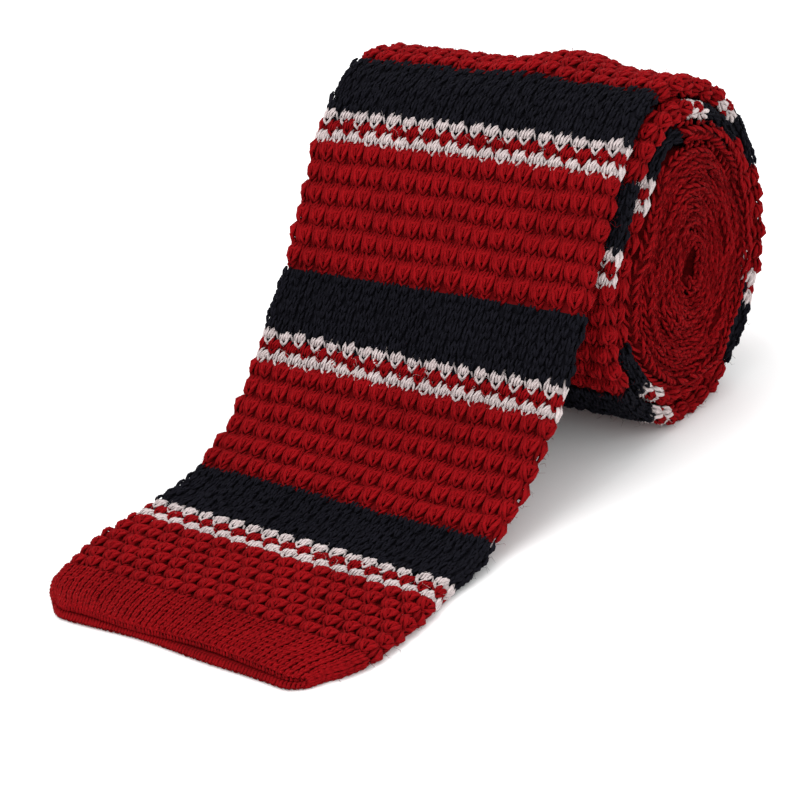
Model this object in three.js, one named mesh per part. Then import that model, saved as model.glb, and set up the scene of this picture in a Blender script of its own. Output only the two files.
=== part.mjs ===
// A knit tie, rolled up from its narrow end, with the wide blade let down in front of the roll.
//
// The whole tie is one flat knitted tube: a front ply and a back ply that meet in a folded edge on
// each side. It is open at the hem and at the narrow end. Its yarn changes colour along its length,
// and each length of one yarn is a piece of its own here.
//
// Millimetres, +Z up. X runs across the tie, -Y points from the roll to the hem, and the floor is at
// z = 0. The origin is the middle of the underside of the space that the tie takes up.

import * as THREE from "three";

// Sizes of the knitted tube
const bladeWidth = 65;
const bladeThickness = 3.3;
const bladeSlot = 0.5;
const neckThickness = 1.2;
const neckSlot = 0.15;
const coreWidth = 60;

// Air between two striped turns, between two turns of the plain neck at the back, and between yarns
const turnGap = 0.5;
const neckTurnGap = 0.25;
const yarnGap = 0.3;

// The roll: its outer sizes over the blade, the hole in its middle, and how far behind and below the
// middle of the outer turn that hole lies
const rollHeight = 63;
const rollDepth = 57.5;
const holeDepth = 5.6;
const holeSetBack = 3.5;
const holeSetDown = 2.5;

// The roll is pressed flat at the upper front, where the blade leaves it
const dentDepth = 4;
const dentAngle = 144;
const dentReach = 54;
const leaveAngle = 150;

// The blade in front of the roll: the bend up from the floor, and the stretch that lies flat
const bendRadius = 40;
const floorLength = 37;

// Lengths of the yarns along the tie, from the hem inwards
const hemLength = 13;
const firstRedLength = 17.5;
const trimLength = 6.1;
const navyLength = 12.1;
const redLength = 24.2;
const stripeSets = 11;

// On the roll's outer turn the wool is wound less tightly, and the red bands of these sets are shorter
const slackRedLength = 21.5;
const firstSlackSet = 4;
const lastSlackSet = 8;

// The hem narrows to rounded corners: along as a share of taperLength, width of bladeWidth
const taperLength = 30;
const hemTaper = [
  { along: 0, width: 0.8 },
  { along: 0.1, width: 0.865 },
  { along: 0.25, width: 0.92 },
  { along: 0.45, width: 0.965 },
  { along: 0.7, width: 0.99 },
  { along: 1, width: 1 },
];

// The folded edge, as shares of the tube's half thickness: how far in the flat face stops, and how
// high the bulge at the very edge reaches
const edgeInset = 0.75;
const edgeBulge = 0.5;

// How finely bends are cut: steps in one turn of the roll and in the bend at the floor
const stepsPerTurn = 24;
const bendSteps = 6;

// Least distance along the tie between a change of yarn and a corner of the route
const cornerClearance = 0.7;

const yarns = {
  red: new THREE.MeshStandardMaterial({ color: 0x981a1e, roughness: 0.95, metalness: 0 }),
  navy: new THREE.MeshStandardMaterial({ color: 0x181b27, roughness: 0.95, metalness: 0 }),
  white: new THREE.MeshStandardMaterial({ color: 0xd6cecb, roughness: 0.95, metalness: 0 }),
};

const bladePitch = bladeThickness + turnGap;

const redLengths = Array.from({ length: stripeSets }, (_, place) => redLengthOf(place + 1));
const stripedLength =
  hemLength + stripeSets * (trimLength + navyLength) + redLengths.reduce((sum, length) => sum + length);

function redLengthOf(set) {
  if (set === 1) return firstRedLength;
  return set >= firstSlackSet && set <= lastSlackSet ? slackRedLength : redLength;
}

// Half sizes of the roll's middle line at its top, where the blade passes over it. Half a turn on,
// it is wound in by half a pitch, and so on round.
const topHalfHeight = (rollHeight - bladeThickness + bladePitch / 2) / 2;
const topHalfDepth = (rollDepth - bladeThickness + bladePitch) / 2;

const radians = THREE.MathUtils.degToRad;

function dentShare(angle) {
  const off = Math.abs(angle - dentAngle) / dentReach;
  return off < 1 ? Math.cos((off * Math.PI) / 2) ** 2 : 0;
}

// A point of the roll's middle line: angle in degrees from the back, over the top, to the front.
// wound is how far the spiral has come in, and inwards is the share of the neck's turns that is done.
function rollPoint(angle, wound, inwards) {
  const turned = ((angle % 360) + 360) % 360;
  const pressed = dentDepth * (1 - inwards) * dentShare(turned);
  const y = (topHalfDepth - wound - pressed) * Math.cos(radians(angle));
  const z = (topHalfHeight - wound - pressed) * Math.sin(radians(angle));
  return new THREE.Vector2(y + holeSetBack * inwards, z - holeSetDown * inwards);
}

// The spiral, from where the blade leaves the roll to the hole in the middle. The striped tube is
// thick and lies in even turns. The plain neck is thin, and its turns lie closer at the back and the
// bottom than at the front and the top, which sets the hole back and down.
function rollRoute(lengthBefore) {
  const step = 360 / stepsPerTurn;
  const points = [];
  let length = lengthBefore;
  let wound = ((90 - leaveAngle) / 360) * bladePitch;
  let neckStart = null;
  for (let angle = leaveAngle; ; angle -= step) {
    const left = neckStart === null ? 1 : (neckStart.end - wound) / neckStart.depth;
    if (left < 0) break;
    points.push(rollPoint(angle, wound, 1 - left));
    if (points.length > 1) length += points.at(-1).distanceTo(points.at(-2));
    if (neckStart === null && length >= stripedLength) {
      const end = topHalfDepth - (holeDepth + neckThickness) / 2;
      neckStart = { angle, end, depth: end - wound };
    }
    wound += pitchAt(angle, neckStart) / stepsPerTurn;
  }
  return points;
}

function pitchAt(angle, neckStart) {
  if (neckStart === null) return bladePitch;
  const firstNeckTurn = neckStart.angle - angle < 360;
  const thickness = firstNeckTurn ? (bladeThickness + neckThickness) / 2 : neckThickness;
  const closest = 1 - Math.hypot(holeSetBack, holeSetDown) / neckStart.depth;
  return (thickness + neckTurnGap) / closest;
}

// The corner at place of a route: across points out of its bend and is long enough to keep the
// tube's thickness through the corner.
function cornerAcross(route, place) {
  const before = route[place].clone().sub(route[Math.max(place - 1, 0)]);
  const after = route[Math.min(place + 1, route.length - 1)].clone().sub(route[place]);
  const into = (before.lengthSq() > 0 ? before : after).clone().normalize();
  const outOf = (after.lengthSq() > 0 ? after : before).clone().normalize();
  const middle = into.clone().add(outOf).normalize();
  return new THREE.Vector2(-middle.y, middle.x).divideScalar(middle.dot(into));
}

// The floor is level with the roll's lowest point, on the underside of its first turn.
function lowestPoint(route) {
  const half = bladeThickness / 2;
  const heights = route.slice(0, stepsPerTurn).map((point, place) => {
    const across = cornerAcross(route, place);
    return point.y - half * Math.abs(across.y);
  });
  return Math.min(...heights);
}

// From the hem: flat on the floor, up a bend, and straight to where the roll begins.
function bladeRoute(leave, slope, floor) {
  const level = floor + bladeThickness / 2;
  const bendEnd = level + bendRadius * (1 - Math.cos(slope));
  const rise = leave.y - bendEnd;
  const bendCentre = leave.x - rise / Math.tan(slope) - bendRadius * Math.sin(slope);
  const flat = hemTaper
    .map((row) => row.along * taperLength)
    .filter((along) => along < floorLength - cornerClearance)
    .map((along) => new THREE.Vector2(bendCentre - floorLength + along, level));
  const bend = [];
  for (let step = 0; step <= bendSteps; step += 1) {
    const turned = (slope * step) / bendSteps;
    const y = bendCentre + bendRadius * Math.sin(turned);
    bend.push(new THREE.Vector2(y, level + bendRadius * (1 - Math.cos(turned))));
  }
  return [...flat, ...bend];
}

function routeLength(route) {
  return route.slice(1).reduce((sum, point, place) => sum + point.distanceTo(route[place]), 0);
}

// The whole route of the tube's middle line, hem first, with the length from the hem at each corner
function wholeRoute() {
  const roll = rollRoute(0);
  const floor = lowestPoint(roll);
  const start = roll[1].clone().sub(roll[0]);
  const slope = Math.atan2(start.y, start.x);
  const blade = bladeRoute(roll[0], slope, floor);
  const before = routeLength([...blade, roll[0]]);
  const route = [...blade, ...rollRoute(before)];
  const back = Math.max(...route.map((point) => point.x)) + bladeThickness / 2;
  const middle = (route[0].x + back) / 2;
  route.forEach((point) => point.sub(new THREE.Vector2(middle, floor)));
  let length = 0;
  return route.map((point, place) => {
    if (place > 0) length += point.distanceTo(route[place - 1]);
    return { point, length, across: cornerAcross(route, place) };
  });
}

const route = wholeRoute();
const tieLength = route.at(-1).length;

function widthAt(length) {
  if (length > stripedLength) {
    const inwards = (length - stripedLength) / (tieLength - stripedLength);
    return THREE.MathUtils.lerp(bladeWidth, coreWidth, inwards);
  }
  const along = Math.min(length / taperLength, 1);
  const next = Math.max(hemTaper.findIndex((row) => row.along >= along), 1);
  const [low, high] = [hemTaper[next - 1], hemTaper[next]];
  const share = (along - low.along) / (high.along - low.along);
  return bladeWidth * THREE.MathUtils.lerp(low.width, high.width, share);
}

// A place on the straight stretch of the route that holds the given length
function cutAt(length) {
  const next = Math.max(route.findIndex((corner) => corner.length >= length), 1);
  const [low, high] = [route[next - 1], route[next]];
  const share = (length - low.length) / (high.length - low.length);
  const along = high.point.clone().sub(low.point).normalize();
  return {
    point: low.point.clone().lerp(high.point, share),
    length,
    across: new THREE.Vector2(-along.y, along.x),
  };
}

// A change of yarn keeps clear of the route's corners, so its cut is square to the tube.
function clearOfCorners(length) {
  const near = route.find((corner) => Math.abs(corner.length - length) < cornerClearance);
  if (near === undefined || length === 0 || length === tieLength) return length;
  return near.length + (length < near.length ? -cornerClearance : cornerClearance);
}

// The section of the tube at one place: eight corners outside and four round the slot inside
function sectionAt(place, thickness, slot) {
  const half = thickness / 2;
  const halfWidth = widthAt(place.length) / 2;
  const flat = halfWidth - edgeInset * half;
  const bulge = edgeBulge * half;
  const slotWidth = halfWidth - (thickness - slot) / 2;
  const corner = (x, up) =>
    new THREE.Vector3(x, place.point.x + up * place.across.x, place.point.y + up * place.across.y);
  const outside = [
    corner(flat, -half),
    corner(halfWidth, -bulge),
    corner(halfWidth, bulge),
    corner(flat, half),
    corner(-flat, half),
    corner(-halfWidth, bulge),
    corner(-halfWidth, -bulge),
    corner(-flat, -half),
  ];
  const inside = [
    corner(slotWidth, -slot / 2),
    corner(slotWidth, slot / 2),
    corner(-slotWidth, slot / 2),
    corner(-slotWidth, -slot / 2),
  ];
  return [...outside, ...inside];
}

const outsideCorners = 8;
const insideCorners = 4;
const sectionCorners = outsideCorners + insideCorners;

function wallFaces(ring) {
  const faces = [];
  const first = ring * sectionCorners;
  const addLoop = (start, count, outward) => {
    for (let place = 0; place < count; place += 1) {
      const here = first + start + place;
      const beside = first + start + ((place + 1) % count);
      const [ahead, aheadBeside] = [here + sectionCorners, beside + sectionCorners];
      if (outward) faces.push(here, ahead, beside, beside, ahead, aheadBeside);
      else faces.push(here, beside, ahead, beside, aheadBeside, ahead);
    }
  };
  addLoop(0, outsideCorners, true);
  addLoop(outsideCorners, insideCorners, false);
  return faces;
}

// The rim of an open end, between the outside and the slot. The first rim faces the hem.
function rimFaces(ring, facesHem) {
  const faces = [];
  const first = ring * sectionCorners;
  const addFace = (a, b, c) => faces.push(...(facesHem ? [a, b, c] : [a, c, b]));
  for (let place = 0; place < insideCorners; place += 1) {
    const slotHere = first + outsideCorners + place;
    const slotBeside = first + outsideCorners + ((place + 1) % insideCorners);
    const outerA = first + 2 * place;
    const outerB = outerA + 1;
    const outerC = first + ((2 * place + 2) % outsideCorners);
    addFace(slotHere, outerA, outerB);
    addFace(slotHere, outerB, outerC);
    addFace(slotHere, outerC, slotBeside);
  }
  return faces;
}

// One length of the tube, hollow and open at both ends
function tubePiece(from, to, thickness, slot) {
  const between = route.filter((corner) => corner.length > from && corner.length < to);
  const places = [cutAt(from), ...between, cutAt(to)];
  const corners = places.flatMap((place) => sectionAt(place, thickness, slot));
  const faces = rimFaces(0, true);
  for (let ring = 0; ring < places.length - 1; ring += 1) faces.push(...wallFaces(ring));
  faces.push(...rimFaces(places.length - 1, false));
  const geometry = new THREE.BufferGeometry().setFromPoints(corners);
  geometry.setIndex(faces);
  geometry.computeVertexNormals();
  return geometry;
}

const tie = new THREE.Group();
tie.name = "knit_tie";

function addPiece(name, from, to, yarn, thickness, slot) {
  const start = from === 0 ? 0 : clearOfCorners(from) + yarnGap / 2;
  const end = to === tieLength ? to : clearOfCorners(to) - yarnGap / 2;
  const mesh = new THREE.Mesh(tubePiece(start, end, thickness, slot), yarns[yarn]);
  mesh.name = name;
  tie.add(mesh);
}

let reached = 0;
function addStripe(name, length, yarn) {
  addPiece(name, reached, reached + length, yarn, bladeThickness, bladeSlot);
  reached += length;
}

addStripe("hem", hemLength, "red");
for (let set = 1; set <= stripeSets; set += 1) {
  const number = String(set).padStart(2, "0");
  addStripe(`red_band_${number}`, redLengths[set - 1], "red");
  addStripe(`trim_band_${number}`, trimLength, "white");
  addStripe(`navy_band_${number}`, navyLength, "navy");
}
addPiece("neckband", reached, tieLength, "red", neckThickness, neckSlot);

export default tie;
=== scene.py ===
"""A knit tie rolled up from its narrow end, its blade let down in front, stitch by stitch.

Every stitch is laid out on the flat tube first: across, the way round the tube from the middle of its
front ply; along, the way from the hem; and rise, how far the yarn stands off the tube's middle. One
function then bends that layout into the rolled tie. Lengths are millimetres until a mesh is made.
"""

import math

import bpy
import numpy as np
from mathutils import Matrix, Vector


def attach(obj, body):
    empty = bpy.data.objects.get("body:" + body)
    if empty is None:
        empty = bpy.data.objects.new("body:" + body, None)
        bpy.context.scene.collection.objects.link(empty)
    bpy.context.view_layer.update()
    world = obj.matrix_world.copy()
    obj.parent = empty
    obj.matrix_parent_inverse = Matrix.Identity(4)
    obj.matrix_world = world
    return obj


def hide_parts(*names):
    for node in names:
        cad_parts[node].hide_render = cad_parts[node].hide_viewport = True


bl_info = {
    "name": "Rolled knit tie",
    "version": (1, 0, 0),
    "blender": (4, 5, 0),
    "location": "View3D > Sidebar > Knit tie",
    "description": "Builds a striped wool tie from its stitches, rolled up and laid on a table",
    "category": "Object",
}

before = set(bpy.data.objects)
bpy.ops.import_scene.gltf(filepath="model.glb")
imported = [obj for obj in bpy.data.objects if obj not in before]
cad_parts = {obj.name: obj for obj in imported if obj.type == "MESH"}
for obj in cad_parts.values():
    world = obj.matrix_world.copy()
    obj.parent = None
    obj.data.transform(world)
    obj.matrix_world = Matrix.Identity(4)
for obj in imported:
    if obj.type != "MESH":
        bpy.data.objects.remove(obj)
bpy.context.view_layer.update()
MM = 0.001

# The knitted tube, the roll and the laid-out blade, as the solids have them
BLADE_WIDTH = 65.0
BLADE_THICKNESS = 3.3
NECK_THICKNESS = 1.2
CORE_WIDTH = 63.0
TURN_GAP = 0.5
NECK_TURN_GAP = 0.25
ROLL_HEIGHT = 63.0
ROLL_DEPTH = 57.5
HOLE_DEPTH = 5.6
HOLE_SET_BACK = 3.5
HOLE_SET_DOWN = 2.5
DENT_DEPTH = 4.0
DENT_ANGLE = 144.0
DENT_REACH = 54.0
LEAVE_ANGLE = 150.0
BEND_RADIUS = 40.0
FLOOR_LENGTH = 37.0
TAPER_LENGTH = 30.0
HEM_TAPER = {  # share of the taper's length: share of the blade's width
    "along": (0, 0.1, 0.25, 0.45, 0.7, 1),
    "width": (0.8, 0.865, 0.92, 0.965, 0.99, 1),
}

# Lengths of the yarns along the tie, and how far the soft hem draws up
HEM_LENGTH = 13.0
HEM_DRAWN_UP = 3.2
FIRST_RED_LENGTH = 17.5
TRIM_LENGTH = 6.1
NAVY_LENGTH = 12.1
RED_LENGTH = 24.2
SLACK_RED_LENGTH = 21.5
STRIPE_SETS = 11
SLACK_SETS = range(4, 9)
ROWS = {"red": 6, "trim": 3, "navy": 3}
ROW_PLACE = {"red": 0.66, "trim": 0.5, "navy": 0.5}  # where a pebble's middle lies in its row

BLADE_PITCH = BLADE_THICKNESS + TURN_GAP
RED_LENGTHS = [FIRST_RED_LENGTH] + [
    SLACK_RED_LENGTH if number in SLACK_SETS else RED_LENGTH for number in range(2, STRIPE_SETS + 1)
]
STRIPED_LENGTH = HEM_LENGTH + sum(RED_LENGTHS) + STRIPE_SETS * (TRIM_LENGTH + NAVY_LENGTH)
TOP_HALF_HEIGHT = (ROLL_HEIGHT - BLADE_THICKNESS + BLADE_PITCH / 2) / 2
TOP_HALF_DEPTH = (ROLL_DEPTH - BLADE_THICKNESS + BLADE_PITCH) / 2

# How far the ground of the cloth lies from the tube's middle, and half the slot between the plies
HEM_GROUND = 1.2
PEBBLE_GROUND = 0.7
NAVY_GROUND = 1.1
NECK_GROUND = 0.42
SLOT_HALF = 0.22

# Stitches are drawn in millimetres as strands: (across, along, rise) of each point, the rise in
# shares of the stitch's height, and the strand's radius. The hem lies towards minus along.
DRAWN_STITCH = (3.6, 4.06)
# The pebble of the tuck stitch: a cup below, and a crown of held strands that lean to the right
PEBBLE = {
    "cup": (
        ((-0.95, -0.4, 0.7), (-0.62, -1.0, 0.72), (0.0, -1.46, 0.42), (0.5, -0.95, 0.72), (0.8, -0.2, 0.8)),
        0.31,
    ),
    "left crown": (((-1.36, -0.42, 0.3), (-1.14, 0.45, 0.78), (-0.86, 1.25, 0.62), (-0.8, 1.8, 0.1)), 0.28),
    "inner left crown": (((-0.66, -0.62, 0.72), (-0.58, 0.35, 1.0), (-0.62, 1.2, 0.66)), 0.27),
    "middle crown": (((-0.1, -0.5, 0.72), (-0.02, 0.4, 1.05), (0.26, 1.1, 0.8), (0.62, 1.6, 0.3)), 0.28),
    "inner right crown": (((0.36, -0.42, 0.72), (0.5, 0.4, 1.02), (0.8, 1.2, 0.7), (0.82, 1.86, 0.1)), 0.28),
    "right crown": (((0.8, -0.25, 0.6), (1.02, 0.45, 0.8), (1.1, 1.2, 0.35)), 0.27),
    "side thread": (((1.08, 0.95, 0.42), (1.5, 0.3, 0.46), (1.82, -0.5, 0.1)), 0.22),
}
# The fuller pebble of the red bands, with a shoulder on its left and a thread on its right
FULL_PEBBLE = {
    "left leg": (((-0.95, 1.9, 0.2), (-1.08, 0.75, 0.85), (-0.74, -0.7, 0.95), (-0.1, -1.8, 0.45)), 0.4),
    "right leg": (((0.85, 2.05, 0.2), (1.05, 0.8, 0.9), (0.74, -0.6, 0.98), (0.1, -1.8, 0.45)), 0.4),
    "left fill": (((-0.35, 1.95, 0.35), (-0.4, 0.7, 1.05), (-0.26, -0.7, 0.85)), 0.37),
    "right fill": (((0.32, 2.1, 0.3), (0.36, 0.8, 1.1), (0.2, -0.6, 0.87)), 0.37),
    "cap": (((-0.85, 0.3, 0.85), (-0.25, 0.8, 1.12), (0.4, 0.8, 1.12), (1.0, 1.35, 0.65)), 0.36),
    "shoulder": (((-1.66, 1.85, 0.3), (-1.62, 0.4, 0.6), (-1.36, -0.7, 0.58), (-1.0, -1.65, 0.3)), 0.42),
    "side thread": (((1.42, 1.85, 0.35), (1.62, 0.3, 0.58), (1.76, -0.85, 0.55), (1.95, -1.95, 0.25)), 0.36),
}
# What is left of a pebble on the ply that lies against the table or the next turn
BACK_PEBBLE = {
    "left leg": FULL_PEBBLE["left leg"],
    "right leg": FULL_PEBBLE["right leg"],
    "middle": (((0.0, 2.0, 0.3), (0.0, 0.7, 0.95), (-0.05, -0.8, 0.8)), 0.5),
}
# The round core of cloth inside each row where the tube folds over
FOLD_LOBE = ((-2.7, 0, -0.3), (-1.4, 0, 0.1), (0.0, 0, 0.2), (1.4, 0, 0.1), (2.7, 0, -0.3))
LOBE_GROUND = 0.6
# The plain stitch under a pebble, in the same column
UNDER_STITCH = {
    "cup": (
        ((-0.95, -1.4, 0.25), (-0.62, -2.3, 0.45), (0.0, -2.95, 0.2), (0.5, -2.3, 0.45), (0.85, -1.4, 0.25)),
        0.31,
    ),
}
# The thin V that shows between two pebbles of the row next to a red band
TRIM_LINK = {
    "link": (
        ((1.2, 0.8, 0.5), (1.42, -0.2, 0.62), (1.78, -1.3, 0.5), (2.1, -0.2, 0.62), (2.35, 0.6, 0.5)),
        0.26,
    ),
}
# The fine plain V of the hem, the loop that turns over its rim, and the V along the neckband's edge
HEM_STITCH = {
    "left leg": (((-0.08, -0.8, 0.2), (-0.2, 0.0, 1.0), (-0.31, 0.7, 0.6)), 0.23),
    "right leg": (((0.08, -0.8, 0.2), (0.2, 0.0, 1.0), (0.31, 0.7, 0.6)), 0.23),
}
RIM_LOOP = {
    "loop": (
        ((0.0, 0.7, 1.3), (0.0, -0.3, 1.26), (0.0, -0.68, 0.82), (0.0, -0.2, 0.42), (0.1, 1.3, 0.42)),
        0.36,
    ),
}
EDGE_STITCH = {
    "left leg": (((-0.2, -1.0, 0.1), (-0.75, 0.0, 1.0), (-1.1, 0.95, 0.3)), 0.36),
    "right leg": (((0.2, -1.0, 0.1), (0.75, 0.0, 1.0), (1.1, 0.95, 0.3)), 0.36),
}
# How the plain stitches look: the ground under them, how high they stand, their length as a share of
# the row, how thick their yarn is, and how far they stray
HEM_KNIT = {"ground": HEM_GROUND, "height": 0.42, "length": 1.0, "thick": 1.35, "stray": 0.04}
NAVY_KNIT = {"ground": NAVY_GROUND + 0.1, "height": 0.28, "length": 0.85, "thick": 1.4, "stray": 0.19}
NAVY_ROW_SHARE = 0.95
RIM_LOOP_BESIDE = 0.36
# The neckband: its chains of stitches to each side of the fold, how much fuller the outer one is, by the
# length from where the stripes end, and its fibres
CHAIN_BESIDE = 1.25
CHAIN_HEIGHT = 0.25
CHAIN_DRAWN_LENGTH = 1.6
OUTER_CHAIN_FULLER = ((5, 20, 90, 120), (0, 0.6, 0.6, 0))
SHORT_FIBRES = 1500
LONG_FIBRES = 2200
# How far loose fibres stand off the tube's middle, and how many of them the trims have
FIBRE_STAND = 1.5
TRIM_FIBRE_SHARE = 0.35


def dent_share(angle):
    """How much of the dent under the leaving blade there is at this angle."""
    off = np.abs(np.mod(angle, 360) - DENT_ANGLE) / DENT_REACH
    return np.where(off < 1, np.cos(np.minimum(off, 1) * math.pi / 2) ** 2, 0)


def roll_point(angle, wound, inwards):
    """A point of the roll's middle line: the angle runs from the back, over the top, to the front."""
    pressed = DENT_DEPTH * (1 - inwards) * dent_share(angle)
    y = (TOP_HALF_DEPTH - wound - pressed) * math.cos(math.radians(angle))
    z = (TOP_HALF_HEIGHT - wound - pressed) * math.sin(math.radians(angle))
    return float(y + HOLE_SET_BACK * inwards), float(z - HOLE_SET_DOWN * inwards)


def roll_route(length, step=3.0):
    """The spiral from where the blade leaves the roll to the hole, and the angle at each point."""
    angle = LEAVE_ANGLE
    wound = (90 - LEAVE_ANGLE) / 360 * BLADE_PITCH
    neck = None
    points, angles = [], []
    while True:
        left = 1.0 if neck is None else (neck["end"] - wound) / neck["depth"]
        if left < 0:
            return np.array(points), np.array(angles)
        points.append(roll_point(angle, wound, 1 - left))
        angles.append(angle)
        if len(points) > 1:
            length += math.dist(points[-1], points[-2])
        if neck is None and length >= STRIPED_LENGTH:
            end = TOP_HALF_DEPTH - (HOLE_DEPTH + NECK_THICKNESS) / 2
            neck = {"angle": angle, "end": end, "depth": end - wound}
        wound += pitch_at(angle, neck) * step / 360
        angle -= step


def pitch_at(angle, neck):
    """How much the spiral winds inwards in one turn from this angle."""
    if neck is None:
        return BLADE_PITCH
    first_turn = neck["angle"] - angle < 360
    thickness = (BLADE_THICKNESS + NECK_THICKNESS) / 2 if first_turn else NECK_THICKNESS
    return (thickness + NECK_TURN_GAP) / (1 - math.hypot(HOLE_SET_BACK, HOLE_SET_DOWN) / neck["depth"])


def blade_route(leave, slope, floor):
    """From the hem: flat on the table, up a bend, and straight to the roll."""
    level = floor + BLADE_THICKNESS / 2
    bend_end = level + BEND_RADIUS * (1 - math.cos(slope))
    centre = leave[0] - (leave[1] - bend_end) / math.tan(slope) - BEND_RADIUS * math.sin(slope)
    turned = np.linspace(0, slope, 30)
    bend = np.stack([centre + BEND_RADIUS * np.sin(turned), level + BEND_RADIUS * (1 - np.cos(turned))], 1)
    foot = bend[-1]
    ramp = foot + (np.array(leave) - foot) * np.linspace(0.1, 0.95, 12)[:, None]
    flat = np.stack([np.linspace(centre - FLOOR_LENGTH, centre, 25)[:-1], np.full(24, level)], 1)
    return np.concatenate([flat, bend, ramp])


ROUTE_STEP = 0.5


def tie_route():
    """The tube's middle line from the hem: its length so far, y, z, the way out of the cloth, and the
    angle round the roll."""
    roll, angles = roll_route(0)
    floor = roll[:120, 1].min() - BLADE_THICKNESS / 2
    slope = math.atan2(roll[3, 1] - roll[0, 1], roll[3, 0] - roll[0, 0])
    blade = blade_route(roll[0], slope, floor)
    before = np.linalg.norm(np.diff(np.concatenate([blade, roll[:1]]), axis=0), axis=1).sum()
    roll, angles = roll_route(before)
    line = np.concatenate([blade, roll])
    angles = np.concatenate([np.full(len(blade), LEAVE_ANGLE), angles])
    back = line[:, 0].max() + BLADE_THICKNESS / 2
    line -= ((line[0, 0] + back) / 2, floor)
    steps = np.linalg.norm(np.diff(line, axis=0), axis=1)
    length = np.concatenate([[0], steps.cumsum()])
    even = np.arange(0, length[-1], ROUTE_STEP)
    y, z = (np.interp(even, length, line[:, axis]) for axis in (0, 1))
    smooth = np.ones(5) / 5
    dy, dz = (np.convolve(np.pad(np.gradient(a), 2, "edge"), smooth, "valid") for a in (y, z))
    size = np.hypot(dy, dz)
    turned = np.interp(even, length, angles)
    inner = [np.interp(360 - turned, -turned, side) for side in (y, z)]
    last = turned < turned[-1] + 360
    room = np.where(last, 0.9, np.hypot(y - inner[0], z - inner[1]) / 2)
    return {
        "room": room,
        "length": even,
        "y": y,
        "z": z,
        "out_y": -dz / size,
        "out_z": dy / size,
        "angle": turned,
    }


ROUTE = tie_route()
TIE_LENGTH = float(ROUTE["length"][-1])


def length_at_angle(angle):
    """How far along the tie the roll's spiral reaches this angle."""
    return float(np.interp(-angle, -ROUTE["angle"], ROUTE["length"]))


TOP_LENGTH = length_at_angle(90)
COVERED_LENGTH = length_at_angle(-205)


def room_at(along):
    """Half the way from one turn of the neckband to the next, which its soft edges fill."""
    return np.interp(along, ROUTE["length"], ROUTE["room"])


def width_at(along):
    """The width of the tube, folded edges included."""
    hem = BLADE_WIDTH * np.interp(along / TAPER_LENGTH, HEM_TAPER["along"], HEM_TAPER["width"])
    inwards = (along - STRIPED_LENGTH) / (TIE_LENGTH - STRIPED_LENGTH)
    neck = BLADE_WIDTH + (CORE_WIDTH - BLADE_WIDTH) * np.clip(inwards, 0, 1)
    return np.where(along > STRIPED_LENGTH, neck, hem)


# Section of the tube: flat plies joined by round folded edges
EDGE_RADIUS = 1.5
FLAT_HALF = BLADE_WIDTH / 2 - BLADE_THICKNESS / 2
FOLD = math.pi * EDGE_RADIUS
FOLD_MIDDLE = FLAT_HALF + FOLD / 2
ROUND_TUBE = 4 * FLAT_HALF + 2 * FOLD

# How the soft cloth differs from the solids, by the length from the hem: how much fuller its left and
# its right edge are, how far it lies to the side, and how far its rows run out of square
FULLER_EDGE = {
    -1: ((0, 5, 13, 20, 27, 33, 138, 142), (1.3, 1.5, 1.4, 1.4, 0.8, 0.2, 0.5, 0)),
    1: ((0, 4, 9, 13, 20, 28, 38), (2.3, 1.0, 1.6, 2.0, 1.8, 0.7, 0)),
}
SLIDE = ((0, 15, 30, 60, 95, 128, 150, 178), (-1.9, -2.3, -2.2, -2.3, -1.4, -2.3, -1.5, 0))
SKEW = ((0, 30, 60, 100, 140), (0.4, -0.5, 0.3, 1.5, 0.9))
# The ridge over the roll: its height, then its middle and reach across and past the roll's top
RIDGE_HEIGHT = 2.7
RIDGE_ACROSS = (7.5, 8.0)
RIDGE_ALONG = (12.0, 15.0)
RIPPLE_HEIGHT = 0.22
NECK_END_SINK = 1.3
# The hem: how far one rim lies past the other, draws back at its corners and settles, how high it
# waves, how much thinner it grows at the corners, and how far it sinks there
HEM_SLIP = 0.8
HEM_CORNER = 1.5
HEM_SETTLE = 0.4
RIM_WAVES = (0.45, 0.2)
HEM_PINCH = 0.42
PINCH_SINK = 1.3


def waves(along, seed, sizes, lengths):
    """A soft unevenness made of a few waves with seeded phases."""
    phases = np.random.default_rng(seed).uniform(0, 2 * math.pi, len(lengths))
    return sum(
        size * np.sin(2 * math.pi * along / length + phase)
        for size, length, phase in zip(sizes, lengths, phases)
    )


def edge_wander(along, side):
    """How far the folded edge strays outwards: little on the striped cloth, more on the soft neck."""
    seed = 11 if side > 0 else 12
    striped = waves(along, seed, (0.18, 0.14), (37.0, 16.0)) + np.interp(along, *FULLER_EDGE[side])
    neck = waves(along, seed + 10, (0.55, 0.35, 0.22), (61.0, 23.0, 9.5))
    return np.where(along > STRIPED_LENGTH, neck, striped)


def lift(x, along):
    """The ridge over the roll, a slight ripple elsewhere, and the last turns drawn inwards."""
    off_across = (x - RIDGE_ACROSS[0]) / RIDGE_ACROSS[1]
    off_along = (along - TOP_LENGTH - RIDGE_ALONG[0]) / RIDGE_ALONG[1]
    ridge = RIDGE_HEIGHT * np.exp(-(off_across**2) - off_along**2)
    ripple = RIPPLE_HEIGHT * np.sin(x / 9.0 + along / 14.0) * np.clip((along - 30) / 20, 0, 1)
    inwards = -NECK_END_SINK * np.clip((along - TIE_LENGTH + 45) / 25, 0, 1)
    return ridge + ripple * np.clip((TOP_LENGTH + 70 - along) / 25, 0, 1) + inwards


def half_thickness_at(along):
    """Half the thickness of the tube."""
    neck = (STRIPED_LENGTH - 2, STRIPED_LENGTH + 6)
    return np.interp(along, neck, (BLADE_THICKNESS / 2, NECK_THICKNESS / 2))


def near_rim(along, reach):
    """From 1 at the hem's rim to 0 at this reach from it."""
    return np.clip(1 - along / reach, 0, 1.1)


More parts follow.
